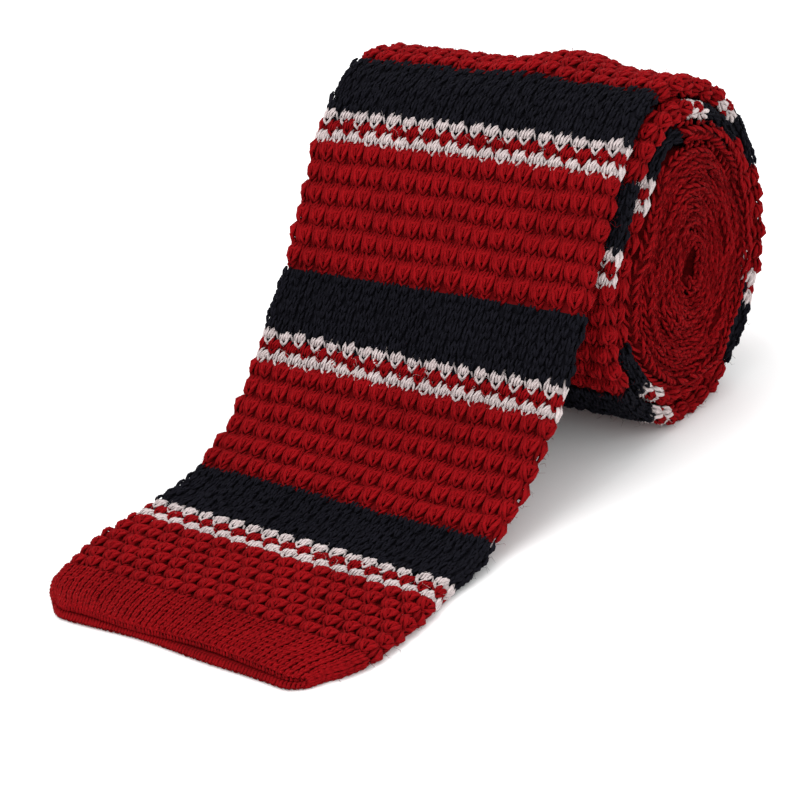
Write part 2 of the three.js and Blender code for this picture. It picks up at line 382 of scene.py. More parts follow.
def near_corner(flat, reach):
    """From 1 at the folded edge to 0 at this reach from it."""
    return np.clip((flat - FLAT_HALF + reach) / reach, 0, 1) ** 2


def rim_wave(x, angle, along):
    """The two rims of the hem don't run quite straight."""
    long_wave = RIM_WAVES[0] * np.sin(x / 10.5 + 0.9 + angle / 4)
    return near_rim(along, 11) * (long_wave + RIM_WAVES[1] * np.sin(x / 4.3 + angle))


def way_round(across):
    """The shorter way round the tube from the middle of its front ply, minus to the left."""
    return np.mod(across + ROUND_TUBE / 2, ROUND_TUBE) - ROUND_TUBE / 2


def on_tie(across, along, rise):
    """Places on the flat layout, bent into the rolled tie: points and the way out of the cloth."""
    turned = way_round(across)
    side = np.where(turned > 0, 1.0, -1.0)
    reach = np.abs(turned)
    angle = np.clip((reach - FLAT_HALF) / EDGE_RADIUS, 0, math.pi)
    on_back = reach > FLAT_HALF + FOLD
    flat = np.where(on_back, 2 * FLAT_HALF + FOLD - reach, np.minimum(reach, FLAT_HALF))
    wander = np.where(side > 0, edge_wander(along, 1), edge_wander(along, -1))
    edge = width_at(along) / 2 - half_thickness_at(along) + wander
    pinch = 1 - HEM_PINCH * near_corner(flat, 10) * np.minimum(near_rim(along, 24), 1)
    x = side * (flat * edge / FLAT_HALF + rise * pinch * np.sin(angle))
    settle = HEM_SETTLE * near_rim(along, 7) * np.cos(np.minimum(angle, math.pi / 2))
    height = rise * pinch * np.cos(angle) - PINCH_SINK * (1 - pinch) - settle
    place = along + (HEM_DRAWN_UP - HEM_SLIP * angle / math.pi) * near_rim(along, HEM_LENGTH)
    place = place + x / BLADE_WIDTH * np.interp(along, *SKEW)
    place = place + HEM_CORNER * near_corner(flat, 4) * near_rim(along, 7) + rim_wave(x, angle, along)
    y, z, out_y, out_z = (np.interp(place, ROUTE["length"], ROUTE[k]) for k in ("y", "z", "out_y", "out_z"))
    y = y + np.minimum(place, 0)
    raised = height + lift(x, along)
    x = x + np.interp(along, *SLIDE)
    points = np.stack([x, y + raised * out_y, np.maximum(z + raised * out_z, 0.04)], -1)
    outwards = np.stack([side * np.sin(angle), np.cos(angle) * out_y, np.cos(angle) * out_z], -1)
    return points, outwards


class KnitMesh:
    """Collects vertices, faces and the yarn's facts, which the wool's material reads, for one mesh."""

    def __init__(self):
        self.parts = []
        self.count = 0

    def add(self, points, quads, triangles, around, depth, tone, material=0):
        """The material is one number, or one for each of the quads."""
        of_quads = np.broadcast_to(material, len(quads))
        of_triangles = np.full(len(triangles), np.min(material))
        facts = (around, depth, tone, of_quads, of_triangles)
        self.parts.append((points, quads + self.count, triangles + self.count, *facts))
        self.count += len(points)

    def make(self, name, materials):
        """The piece that this mesh makes, its material slots in the order given."""
        joined = (np.concatenate(part) for part in zip(*self.parts))
        points, quads, triangles, around, depth, tone, *used = joined
        mesh = bpy.data.meshes.new(name)
        mesh.vertices.add(len(points))
        mesh.vertices.foreach_set("co", (points * MM).astype(np.float32).ravel())
        corners = np.concatenate([quads.ravel(), triangles.ravel()]).astype(np.int32)
        sizes = np.repeat([4, 3], [len(quads), len(triangles)])
        starts = np.concatenate([[0], np.cumsum(sizes)[:-1]]).astype(np.int32)
        mesh.loops.add(len(corners))
        mesh.loops.foreach_set("vertex_index", corners)
        mesh.polygons.add(len(sizes))
        mesh.polygons.foreach_set("loop_start", starts)
        mesh.polygons.foreach_set("use_smooth", np.ones(len(sizes), bool))
        mesh.polygons.foreach_set("material_index", np.concatenate(used).astype(np.int32))
        mesh.update(calc_edges=True)
        # yarn_depth is a mask of painted shade: at nought the yarn takes its painted shade colour in full, at
        # one its own colour.
        facts = {"yarn_around": (around, "FLOAT_VECTOR", "vector")}
        facts.update(yarn_depth=(depth, "FLOAT", "value"), yarn_tone=(tone, "FLOAT", "value"))
        for fact, (values, kind, field) in facts.items():
            layer = mesh.attributes.new(fact, kind, "POINT")
            layer.data.foreach_set(field, values.astype(np.float32).ravel())
        for material in materials:
            mesh.materials.append(material)
        piece = bpy.data.objects.new(name, mesh)
        bpy.context.scene.collection.objects.link(piece)
        return piece


def unit(vectors):
    """The same directions, each one long."""
    return vectors / np.maximum(np.linalg.norm(vectors, axis=-1, keepdims=True), 1e-9)


def lay_strands(knit, points, outwards, radius, sides, rng, depth, material=0):
    """Round strands with closed ends. points is (strands, points each, 3) and radius fits it."""
    number, each, _ = points.shape
    heading = unit(np.gradient(points, axis=1))
    beside = unit(np.cross(heading, outwards))
    above = np.cross(beside, heading)
    turn = np.arange(sides) / sides * 2 * math.pi
    ring = beside[:, :, None] * np.cos(turn)[:, None] + above[:, :, None] * np.sin(turn)[:, None]
    radius = np.broadcast_to(radius, (number, each))
    rings = points[:, :, None] + ring * radius[:, :, None, None]
    ends = points[:, [0, -1]] + heading[:, [0, -1]] * (radius[:, [0, -1]] * 0.7)[..., None] * [[-1], [1]]
    every = np.concatenate([rings.reshape(number, -1, 3), ends], 1)
    every[..., 2] = np.maximum(every[..., 2], 0.02)
    run = np.linalg.norm(np.diff(points, axis=1), axis=2).cumsum(1)
    run = np.concatenate([np.zeros((number, 1)), run], 1) + rng.uniform(0, 2, (number, 1))
    around = np.zeros((number, each * sides + 2, 3))
    around[:, : each * sides, 0] = np.tile(np.cos(turn), each)
    around[:, : each * sides, 1] = np.tile(np.sin(turn), each)
    around[:, : each * sides, 2] = np.repeat(run, sides, 1)
    around[:, -2:, 2] = run[:, [0, -1]]
    # The painted shade mask of each ring and end point.
    lit_share = np.concatenate([np.repeat(depth, sides, 1), depth[:, [0, -1]]], 1)
    tone = np.repeat(rng.uniform(-1, 1, (number, 1)), each * sides + 2, 1)
    first, step = np.arange(each - 1)[:, None] * sides, np.arange(sides)[None]
    here, beside_here = first + step, first + (step + 1) % sides
    quads = np.stack([here, here + sides, beside_here + sides, beside_here], -1)
    tip = np.full(sides, each * sides)
    near_cap = np.stack([tip, here[0], beside_here[0]], -1)
    far_cap = np.stack([tip + 1, beside_here[-1] + sides, here[-1] + sides], -1)
    caps = np.concatenate([near_cap, far_cap])
    offset = (np.arange(number) * (each * sides + 2))[:, None, None]
    knit.add(
        every.reshape(-1, 3),
        (quads.reshape(1, -1, 4) + offset).reshape(-1, 4),
        (caps[None] + offset).reshape(-1, 3),
        around.reshape(-1, 3),
        lit_share.ravel(),
        tone.ravel(),
        material,
    )


# How much a motif swings and grows at random, the most of that, and the thickness along a strand
MOTIF_STRAY = 0.07
MOST_STRAY = 1.5 * MOTIF_STRAY
STRAND_TAPER = ((0, 0.25, 0.8, 1), (0.8, 1, 1, 0.66))
THICK_STRAND = 0.37  # strands thicker than this have five sides, not four


def lay_motif(knit, motif, across, along, ground, height, size, thick, rng, material=0):
    """One motif of strands at each place, scaled by size (across, along) and by thick."""
    number = len(across)
    if number == 0:
        return
    swing = rng.normal(0, MOTIF_STRAY, number).clip(-MOST_STRAY, MOST_STRAY)[:, None]
    grow = rng.normal(1, MOTIF_STRAY, number).clip(1 - MOST_STRAY, 1 + MOST_STRAY)[:, None]
    for shape, radius in motif.values():
        shape = np.array(shape)
        sideways = shape[:, 0] * size[0] * grow
        onwards = shape[:, 1] * size[1] * grow
        round_tube = across[:, None] + sideways + onwards * swing
        lengthwise = along[:, None] + onwards - sideways * swing
        share = np.broadcast_to(shape[:, 2], round_tube.shape)
        rise = ground[:, None] + share * np.reshape(height, (-1, 1))
        points, outwards = on_tie(round_tube, lengthwise, rise)
        ends = np.interp(np.linspace(0, 1, len(shape)), *STRAND_TAPER)
        # Painted shade: the lower a point of a strand lies in the knit, the more of the painted shade colour
        # it takes.
        depth = np.clip(0.25 + 0.75 * share, 0, 1)
        sides = 5 if radius > THICK_STRAND else 4
        lay_strands(knit, points, outwards, radius * thick * ends, sides, rng, depth, material)


def lay_fibres(knit, across, along, rise, length, radius, rng):
    """Loose fibres of wool that stand off the yarn, bent at random."""
    number = len(across)
    if number == 0:
        return
    points, outwards = on_tie(across, along, rise)
    stray = unit(rng.normal(0, 1, (number, 3)))
    heading = unit(outwards * 0.55 + stray)
    reach = length * rng.uniform(0.4, 1.3, (number, 1))
    curl = unit(np.cross(heading, rng.normal(0, 1, (number, 3)))) * reach * 0.35
    path = np.stack([points, points + heading * reach * 0.5 + curl * 0.8, points + heading * reach * 0.85], 1)
    taper = np.array([1.0, 0.8, 0.35]) * radius
    lay_strands(knit, path, np.repeat(outwards[:, None], 3, 1), taper, 3, rng, np.ones((number, 3)))


def lay_long_fibres(knit, across, along, rise, length, radius, rng):
    """Long fibres that trail along the cloth, close to it."""
    number = len(across)
    reach = length * rng.uniform(0.5, 1.4, (number, 1)) * np.array([0, 0.35, 0.7, 1])
    sideways = across[:, None] + rng.normal(0, 0.3, (number, 4))
    stand = rise[:, None] + rng.normal(0, 0.16, (number, 4))
    points, outwards = on_tie(sideways, along[:, None] + reach, stand)
    taper = np.array([0.5, 1.0, 0.8, 0.35]) * radius
    lay_strands(knit, points, outwards, taper, 3, rng, np.ones((number, 4)))


def columns_round(stitch, offset=0.0):
    """The columns of stitches, evenly round the tube, moved on by a share of a stitch."""
    number = int(round(ROUND_TUBE / stitch))
    return (np.arange(number) + offset) * (ROUND_TUBE / number) - ROUND_TUBE / 2


def shown_at(across, along, near_edge=4.5):
    """Whether a place on the tube can be seen once the tie is rolled up."""
    reach = np.abs(way_round(across))
    front = (reach < FOLD_MIDDLE) & (along < COVERED_LENGTH + 12)
    return (np.abs(reach - FOLD_MIDDLE) < near_edge) | front | (along < TOP_LENGTH - 12)


def tie_bands():
    """Every length of one yarn colour from the hem: its node's name, start, end and kind."""
    bands = [("hem", 0.0, HEM_LENGTH, "hem")]
    start = HEM_LENGTH
    for number, red in enumerate(RED_LENGTHS, 1):
        for kind, length in (("red", red), ("trim", TRIM_LENGTH), ("navy", NAVY_LENGTH)):
            bands.append((f"{kind}_band_{number:02d}", start, start + length, kind))
            start += length
    bands.append(("neckband", start, TIE_LENGTH, "neck"))
    return bands


BANDS = tie_bands()


def ground_steps():
    """How far the ground of the cloth stands off the tube's middle: the plain navy is the fullest."""
    steps = [(0, HEM_GROUND), (HEM_LENGTH - 1.5, HEM_GROUND), (HEM_LENGTH + 1, PEBBLE_GROUND)]
    for _, start, end, kind in BANDS:
        if kind == "navy":
            steps += [(start - 0.4, PEBBLE_GROUND), (start + 0.8, NAVY_GROUND), (end - 0.8, NAVY_GROUND)]
            steps += [(end + 0.2, PEBBLE_GROUND)]
    steps.append((STRIPED_LENGTH + 12, NECK_GROUND))
    return np.array(steps).T


GROUND_STEPS = ground_steps()


def ground_at(along):
    """How far the ground of the cloth stands off the tube's middle here."""
    return np.interp(along, *GROUND_STEPS)


def band_rows():
    """The middle of each row of pebbles in each striped band, with the rows numbered from the hem. The
    navy bands count rows too, which keeps every second row of pebbles half a stitch aside."""
    rows, first = {}, 0
    for name, start, end, kind in BANDS:
        if kind in ROWS:
            number = ROWS[kind]
            middles = start + (np.arange(number) + ROW_PLACE[kind]) * (end - start) / number
            rows[name] = [(first + index, middle) for index, middle in enumerate(middles)]
            first += number
    return rows


def pebble_places(rows, stitch):
    """Across, along, row number and whether it is on the back ply, for every pebble that shows."""
    places = []
    for index, middle in rows:
        across = columns_round(stitch, 0.5 * (index % 2))
        across = across[shown_at(across, middle, 1.35 * ROUND_TUBE / len(across))]
        behind = np.abs(way_round(across)) >= FOLD_MIDDLE
        places.append((across, np.full(len(across), middle), np.full(len(across), index), behind))
    return tuple(np.concatenate(part) for part in zip(*places))


# How uneven the pebbles are: their height as a share, and their places across and along
PEBBLE_UNEVEN = {"height": 0.14, "across": 0.12, "along": 0.13}
TRIM_HEIGHT_SHARE = 0.82
BACK_HEIGHT_SHARE = 0.6


def knit_pebbles(knit, rows, kind, sizes, rng):
    """The pebbled rows of one band; the trim's middle row is red between two white ones."""
    across, along, number, behind = pebble_places(rows, sizes.stitch_width / MM)
    trim, count = kind == "trim", len(across)
    on_edge = np.clip(1.4 - np.abs(np.abs(way_round(across)) - FOLD_MIDDLE) / 3, 0, 1)
    uneven = rng.normal(1, PEBBLE_UNEVEN["height"], count).clip(0.8, 1.15)
    height = sizes.pebble_height / MM * uneven + 0.15 * on_edge
    height = height * np.where(behind, BACK_HEIGHT_SHARE + (1 - BACK_HEIGHT_SHARE) * on_edge, 1)
    height = height * (TRIM_HEIGHT_SHARE if trim else 1)
    across = across + rng.normal(0, PEBBLE_UNEVEN["across"], count)
    along = along + rng.normal(0, PEBBLE_UNEVEN["along"], count)
    pitch = sizes.row_height / MM if trim else rows[1][1] - rows[0][1]
    size = (sizes.stitch_width / MM / DRAWN_STITCH[0], pitch / DRAWN_STITCH[1])
    ground = ground_at(along)
    row = number - rows[0][0]

    def lay(chosen, motif, material=0):
        places = (across[chosen], along[chosen], ground[chosen], height[chosen])
        lay_motif(knit, motif, *places, size, sizes.yarn_thickness, rng, material)

    for material, back in ((0, False), (1, False), (0, True), (1, True)):
        chosen = ((trim & (row == 1)) == bool(material)) & (behind == back)
        lay(chosen, BACK_PEBBLE if back else PEBBLE if trim else FULL_PEBBLE, material)
    lay_lobes(knit, trim, rows, size, rng)
    if trim:
        lay((row == 0) & ~behind, TRIM_LINK)
    else:
        lay(~behind, UNDER_STITCH)


def lay_lobes(knit, trim, rows, size, rng):
    """Fills the fold of the cloth behind the pebbles at both edges of each row."""
    middles = np.array([middle for _, middle in rows])
    yarns = ((0, np.delete(middles, 1)), (1, middles[1:2])) if trim else ((0, middles),)
    lobe = {"lobe": (FOLD_LOBE, 0.75 if trim else 0.85)}
    for edge in (-FOLD_MIDDLE, FOLD_MIDDLE):
        for material, along in yarns:
            places = (np.full(len(along), edge), along, np.full(len(along), LOBE_GROUND))
            lay_motif(knit, lobe, *places, 1.0, size, 1.0, rng, material)


def knit_fibres(knit, start, end, sizes, rng, share=1.0):
    """Loose fibres over the part of a band that can be seen."""
    end = min(end, COVERED_LENGTH)
    if end <= start:
        return
    number = int((end - start) * sizes.fibres * share)
    across = rng.uniform(-FLAT_HALF - FOLD, FLAT_HALF + FOLD, number)
    along = rng.uniform(start, end, number)
    stand = FIBRE_STAND + rng.uniform(-0.3, 0.2, number)
    lay_fibres(knit, across, along, stand, sizes.fibre_length / MM, sizes.fibre_radius / MM, rng)


def knit_plain(knit, rows, stitch, row, look, rng):
    """Plain V stitches in every column and row that shows, straying a little from their places."""
    across, along = (grid.ravel() for grid in np.meshgrid(columns_round(stitch), rows))
    shown = shown_at(across, along)
    places = (across[shown], along[shown], look["ground"])
    across, along, ground = (place + rng.normal(0, look["stray"], shown.sum()) for place in places)
    size = (stitch, row * look["length"])
    lay_motif(knit, HEM_STITCH, across, along, ground, look["height"], size, look["thick"], rng)


def slot_at(along):
    """Half the slot between the two plies, which is thin in the neckband."""
    return np.interp(along, (STRIPED_LENGTH, STRIPED_LENGTH + 12), (SLOT_HALF, 0.08))


def cloth_stations():
    """Where the cloth has a ring of vertices: at the end of each band, closer near the hole."""
    stations = [[0.0]]
    for _, start, end, kind in BANDS[:-1]:
        stations.append(np.linspace(start, end, int(math.ceil((end - start) / 3)) + 1)[1:])
    tight = TIE_LENGTH - 130
    stations.append(np.linspace(STRIPED_LENGTH, tight, int((tight - STRIPED_LENGTH) / 3))[1:])
    stations.append(np.linspace(tight, TIE_LENGTH - 0.5, 95)[1:])
    return np.concatenate(stations)


def cloth_tints(middles):
    """Which wool the ground of the cloth is at these lengths: navy runs on under the nearest white row."""
    tints = np.zeros(len(middles), int)
    for _, start, end, kind in BANDS:
        if kind == "navy":
            tints[(middles > start - TRIM_LENGTH * 0.3) & (middles < end)] = 1
    return tints


def make_cloth(materials):
    """The wall of the knitted tube in one piece: outside, inside, and a rim at each open end."""
    back = ROUND_TUBE - FLAT_HALF
    corners = (-FLAT_HALF, FLAT_HALF, FLAT_HALF + FOLD, back - FOLD, back)
    spans = zip(corners, corners[1:], (12, 6, 12, 6))
    ring = np.concatenate([np.linspace(*span, endpoint=False) for span in spans])
    stations = cloth_stations()
    across, along = np.meshgrid(ring, stations)
    at_edge = np.clip(1 - np.abs(np.abs(way_round(across)) - FOLD_MIDDLE) / FOLD, 0, 1)
    neck_edge = np.clip((along - STRIPED_LENGTH) / 8, 0, 1) * at_edge
    full = (room_at(along) - 0.35 - NECK_GROUND).clip(0, 0.6)
    outside, _ = on_tie(across, along, ground_at(along) + full * neck_edge)
    inside, _ = on_tie(across, along, slot_at(along))
    around, inner = len(ring), along.size
    first = np.arange(len(stations) - 1)[:, None] * around
    place, beside = first + np.arange(around), first + (np.arange(around) + 1) % around
    walls = np.stack([place, beside, beside + around, place + around], -1).reshape(-1, 4)
    rim = np.stack([place[0], beside[0], beside[0] + inner, place[0] + inner], -1)
    quads = np.concatenate([walls, walls[:, ::-1] + inner, rim[:, ::-1], rim + inner - around])
    tint = np.repeat(cloth_tints((stations[1:] + stations[:-1]) / 2), around)
    tints = np.concatenate([tint, tint, np.zeros(2 * around, int)])
    points = np.concatenate([outside.reshape(-1, 3), inside.reshape(-1, 3)])
    none = np.zeros(len(points))
    run = np.stack([none, none, np.tile(along.ravel(), 2)], -1)
    knit = KnitMesh()
    # The cloth's shade mask is nought everywhere, so the whole cloth takes its wool's painted shade colour:
    # painted shade in the holes between the stitches.
    knit.add(points, quads, np.zeros((0, 3), int), run, none, none, tints)
    return knit.make("tie_cloth", materials)


def fill(tree, node, values):
    """Gives each input its value, or a link where the value is another node's output."""
    for name, value in values.items():
        if isinstance(value, bpy.types.NodeSocket):
            tree.links.new(value, node.inputs[name])
        else:
            node.inputs[name].default_value = value


def add_node(tree, kind, values=None, **settings):
    """A new node to the right of the others, with its settings and its inputs filled."""
    node = tree.nodes.new(kind)
    node.location = (220 * len(tree.nodes), 0)
    for name, value in settings.items():
        setattr(node, name, value)
    fill(tree, node, values or {})
    return node


# The wool: its plies and how tightly they twist, the grain of its fibres and of its soft clouds, how much
# each of the clouds and the single strand changes its colour, and how much painted shade darkens the grooves
# between the plies and lightens their crowns
PLIES = 2.0
TWIST_RATE = 3.4
FIBRE_GRAIN = 3200
CLOUD_GRAIN = 90
CLOUD_CHANGE = 0.5
STRAND_CHANGE = 0.06
GROOVE_PAINTED_SHADE = 0.08


def wool_yarn_group():
    """Shared effect: two-ply twist, fibres, and painted shade on the yarn that lies low in the knit and in
    the grooves between its plies.
    """
    found = bpy.data.node_groups.get("Wool yarn")
    if found:
        return found
    tree = bpy.data.node_groups.new("Wool yarn", "ShaderNodeTree")
    for name, kind, default in (
        ("Colour", "NodeSocketColor", (0.3, 0.02, 0.02, 1)),
        ("Painted shade colour", "NodeSocketColor", (0.05, 0.0, 0.0, 1)),
        ("Mottle", "NodeSocketFloat", 0.25),
        ("Twist", "NodeSocketFloat", 0.5),
    ):
        socket = tree.interface.new_socket(name=name, in_out="INPUT", socket_type=kind)
        socket.default_value = default
    for name, kind in (("Colour", "Color"), ("Roughness", "Float"), ("Height", "Float")):
        tree.interface.new_socket(name=name, in_out="OUTPUT", socket_type="NodeSocket" + kind)

    def maths(operation, *values):
        return add_node(tree, "ShaderNodeMath", dict(enumerate(values)), operation=operation).outputs[0]

    given = add_node(tree, "NodeGroupInput").outputs
    around, depth, tone = (
        add_node(tree, "ShaderNodeAttribute", attribute_name="yarn_" + fact).outputs
        for fact in ("around", "depth", "tone")
    )
    parts = add_node(tree, "ShaderNodeSeparateXYZ", {0: around["Vector"]}).outputs
    place = add_node(tree, "ShaderNodeTexCoord").outputs["Object"]
    fine, broad = (
        add_node(tree, "ShaderNodeTexNoise", {"Vector": place, "Scale": grain, "Detail": detail})
        for grain, detail in ((FIBRE_GRAIN, 3), (CLOUD_GRAIN, 2))
    )
    fine, broad = fine.outputs["Fac"], broad.outputs["Fac"]
    plies = maths("MULTIPLY", maths("ARCTAN2", parts[1], parts[0]), PLIES)
    twist = maths("SINE", maths("ADD", plies, maths("MULTIPLY", parts[2], TWIST_RATE)))
    height = maths("ADD", maths("MULTIPLY", twist, given["Twist"]), fine)
    change = maths("MULTIPLY", maths("SUBTRACT", fine, 0.5), given["Mottle"])
    clouds = maths("SUBTRACT", broad, 0.5)
    # The twist adds painted shade: darker in the grooves between the plies, lighter on their crowns.
    for source, share in ((clouds, CLOUD_CHANGE), (tone["Fac"], STRAND_CHANGE), (twist, GROOVE_PAINTED_SHADE)):
        change = maths("ADD", change, maths("MULTIPLY", source, share))
    # Painted shade: the yarn goes from its painted shade colour, where it lies low in the knit, to its own
    # colour on top.
    colours = {0: depth["Fac"], 6: given["Painted shade colour"], 7: given["Colour"]}
    mix = add_node(tree, "ShaderNodeMix", colours, data_type="RGBA")
    scaled = {0: mix.outputs[2], "Scale": maths("ADD", change, 1.0)}
    shade = add_node(tree, "ShaderNodeVectorMath", scaled, operation="SCALE")
    rough = maths("ADD", maths("MULTIPLY", fine, 0.2), 0.78)
    add_node(tree, "NodeGroupOutput", {"Colour": shade.outputs[0], "Roughness": rough, "Height": height})
    return tree


def wool(name, colour, lit_share, mottle, sheen, tint):
    """A wool of one colour and its painted shade colour, a share of that colour which the yarn takes low in
    the knit. The sheen is the soft light of its loose fibres.
    """
    found = bpy.data.materials.get(name)
    if found:
        return found
    material = bpy.data.materials.new(name)
    material.use_nodes = True
    tree = material.node_tree
    # Painted shade colour: the wool's colour darkened by the given share.
    painted_shade = tuple(share * lit_share for share in colour)
    look = {"Colour": (*colour, 1), "Painted shade colour": (*painted_shade, 1), "Mottle": mottle, "Twist": 0.6}
    yarn = add_node(tree, "ShaderNodeGroup", look, node_tree=wool_yarn_group()).outputs
    bump = {"Strength": 0.75, "Distance": 0.00017, "Height": yarn["Height"]}
    shader = {
        "Base Color": yarn["Colour"],
        "Roughness": yarn["Roughness"],
        "Normal": add_node(tree, "ShaderNodeBump", bump).outputs["Normal"],
        "Sheen Weight": sheen,
        "Sheen Roughness": 0.5,
        "Sheen Tint": (*tint, 1),
        "Specular IOR Level": 0.05,
    }
    fill(tree, tree.nodes["Principled BSDF"], shader)
    return material


def wools(settings):
    """The three wools in the order red, navy, white."""
    return (
        # The number after each colour is the share of it that its painted shade colour keeps.
        wool("Red wool", settings.red, 0.46, 0.5, 0.04, (1.0, 0.05, 0.04)),
        wool("Navy wool", settings.navy, 0.6, 0.5, 0.0, (0.45, 0.55, 0.8)),
        wool("White wool", settings.white, 0.45, 0.2, 0.3, (1.0, 0.97, 0.95)),
    )


def knit_navy(knit, start, end, sizes, rng):
    """The navy bands are a close plain knit, with a slightly uneven face."""
    row = sizes.hem_row_height / MM * NAVY_ROW_SHARE
    rows = np.arange(start + row / 2, end - row / 4, row)
    knit_plain(knit, rows, sizes.hem_stitch_width / MM, row, NAVY_KNIT, rng)


def place_stitches(piece, node):
    """The stitches stand in for their node's solid."""
    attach(piece, "root")
    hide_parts(node)


def chain_ground(along):
    """How far the neckband's chains stand off its middle, to fill the room between two turns."""
    return ((room_at(along) - 0.34) / 0.74).clip(0.4, 1.7)


def knit_bands(context, wanted):
    """One piece of stitches for each striped band of this kind."""
    sizes, (red, navy, white) = context.scene.knit_tie_sizes, wools(context.scene.knit_tie_wool)
    yarns = {"red": (red,), "navy": (navy,), "trim": (white, red)}[wanted]
    rows = band_rows()
    for seed, (name, start, end, kind) in enumerate(BANDS):
        if kind == wanted:
            rng = np.random.default_rng(100 + seed)
            knit = KnitMesh()
            if kind == "navy":
                knit_navy(knit, start, end, sizes, rng)
            else:
                knit_pebbles(knit, rows[name], kind, sizes, rng)
            knit_fibres(knit, start, end, sizes, rng, TRIM_FIBRE_SHARE if kind == "trim" else 1.0)
            place_stitches(knit.make(name + "_stitches", yarns), name)


class KnitTieSizes(bpy.types.PropertyGroup):
    """Sizes of the stitches and the yarn."""

    stitch_width: bpy.props.FloatProperty(
        name="Stitch width", description="From one pebble to the next across the tie",
        default=0.0036, unit="LENGTH",
    )
    row_height: bpy.props.FloatProperty(
        name="Row height", description="From one row of pebbles to the next",
        default=0.00406, unit="LENGTH",
    )
    pebble_height: bpy.props.FloatProperty(
        name="Pebble height", description="How far a pebble stands off the cloth",
        default=0.0009, unit="LENGTH",
    )
    yarn_thickness: bpy.props.FloatProperty(
        name="Yarn thickness", description="Thickness of the yarn as a share of the drawn one",
        default=1.0,
    )
    hem_stitch_width: bpy.props.FloatProperty(
        name="Hem stitch width", description="From one plain stitch to the next round the hem",
        default=0.0015, unit="LENGTH",
    )
    hem_row_height: bpy.props.FloatProperty(
        name="Hem row height", description="From one plain row to the next along the hem",
        default=0.0014, unit="LENGTH",
    )
    neck_stitch_length: bpy.props.FloatProperty(
        name="Neck stitch length", description="From one stitch to the next along the neckband's edge",
        default=0.00175, unit="LENGTH",
    )
    fibre_length: bpy.props.FloatProperty(
        name="Fibre length", description="Length of the loose fibres of wool",
        default=0.002, unit="LENGTH",
    )
    fibre_radius: bpy.props.FloatProperty(
        name="Fibre radius", description="Radius of the loose fibres of wool",
        default=0.000035, unit="LENGTH",
    )
    fibres: bpy.props.FloatProperty(
        name="Fibres", description="Loose fibres for each millimetre of the tie's length", default=22.0
    )


class KnitTieWool(bpy.types.PropertyGroup):
    """Colours of the three wools."""

    red: bpy.props.FloatVectorProperty(
        name="Red", description="Ground colour of the tie",
        default=(0.225, 0.0028, 0.0048), subtype="COLOR", min=0, max=1,
    )
    navy: bpy.props.FloatVectorProperty(
        name="Navy", description="Broad stripes",
        default=(0.0068, 0.0066, 0.0102), subtype="COLOR", min=0, max=1,
    )
    white: bpy.props.FloatVectorProperty(
        name="White", description="Narrow rows beside each navy stripe",
        default=(0.57, 0.485, 0.48), subtype="COLOR", min=0, max=1,
    )


class KnitTieStage(bpy.types.PropertyGroup):
    """The table, the lights and the camera."""

    floor_colour: bpy.props.FloatVectorProperty(
        name="Floor", description="Colour of the table",
        default=(0.93, 0.93, 0.93), subtype="COLOR", min=0, max=1,
    )
    camera_turn: bpy.props.FloatProperty(
        name="Camera turn", description="Angle of the camera round the tie from its front",
        default=math.radians(39.24), subtype="ANGLE",
    )
    camera_height: bpy.props.FloatProperty(
        name="Camera height", description="Angle of the camera above the floor",
        default=math.radians(25.44), subtype="ANGLE",
    )
    camera_tilt: bpy.props.FloatProperty(
        name="Camera tilt", description="How far the camera leans to one side",
        default=math.radians(-6.72), subtype="ANGLE",
    )
    camera_distance: bpy.props.FloatProperty(
        name="Camera distance", description="From the camera to its target",
        default=0.3947, unit="LENGTH",
    )
    camera_target: bpy.props.FloatVectorProperty(
        name="Camera target", description="The point that the camera looks at",
        default=(0.0017, -0.00667, 0.0174), subtype="TRANSLATION", unit="LENGTH",
    )
    focal_length: bpy.props.FloatProperty(
        name="Focal length", description="Focal length in millimetres on a 36 mm sensor", default=102.2
    )
    light_power: bpy.props.FloatProperty(
        name="Light power", description="Power of the main soft light in watts", default=7.5
    )


class KNITTIE_OT_hem(bpy.types.Operator):
    """Knit the plain hem in fine V stitches, its two rims turned over"""

    bl_idname = "knit_tie.hem"
    bl_label = "Knit the hem"
    bl_options = {"REGISTER", "UNDO"}

    def execute(self, context):
        sizes, (red, _, _) = context.scene.knit_tie_sizes, wools(context.scene.knit_tie_wool)
        rng = np.random.default_rng(5)
        knit = KnitMesh()
        stitch, row = sizes.hem_stitch_width / MM, sizes.hem_row_height / MM
        knit_plain(knit, np.arange(0.5, HEM_LENGTH / row - 0.2) * row, stitch, row, HEM_KNIT, rng)
        across = (columns_round(stitch)[:, None] + (-RIM_LOOP_BESIDE, RIM_LOOP_BESIDE)).ravel()
        at_rim = np.zeros(len(across))
        lay_motif(knit, RIM_LOOP, across, at_rim, at_rim, 1.0, (1.0, 1.0), 1.0, rng)
        knit_fibres(knit, 0, HEM_LENGTH, sizes, rng)
        place_stitches(knit.make("hem_stitches", (red,)), "hem")
        return {"FINISHED"}


class KNITTIE_OT_red_bands(bpy.types.Operator):
    """Knit the red bands in rows of tuck-stitch pebbles"""

    bl_idname = "knit_tie.red_bands"
    bl_label = "Knit the red bands"
    bl_options = {"REGISTER", "UNDO"}

    def execute(self, context):
        knit_bands(context, "red")
        return {"FINISHED"}


class KNITTIE_OT_trim_bands(bpy.types.Operator):
    """Knit the narrow trim bands: a red row between two white ones"""

    bl_idname = "knit_tie.trim_bands"
    bl_label = "Knit the trim bands"
    bl_options = {"REGISTER", "UNDO"}

    def execute(self, context):
        knit_bands(context, "trim")
        return {"FINISHED"}


class KNITTIE_OT_navy_bands(bpy.types.Operator):
    """Knit the navy bands in a close plain knit"""

    bl_idname = "knit_tie.navy_bands"
    bl_label = "Knit the navy bands"
    bl_options = {"REGISTER", "UNDO"}

    def execute(self, context):
        knit_bands(context, "navy")
        return {"FINISHED"}


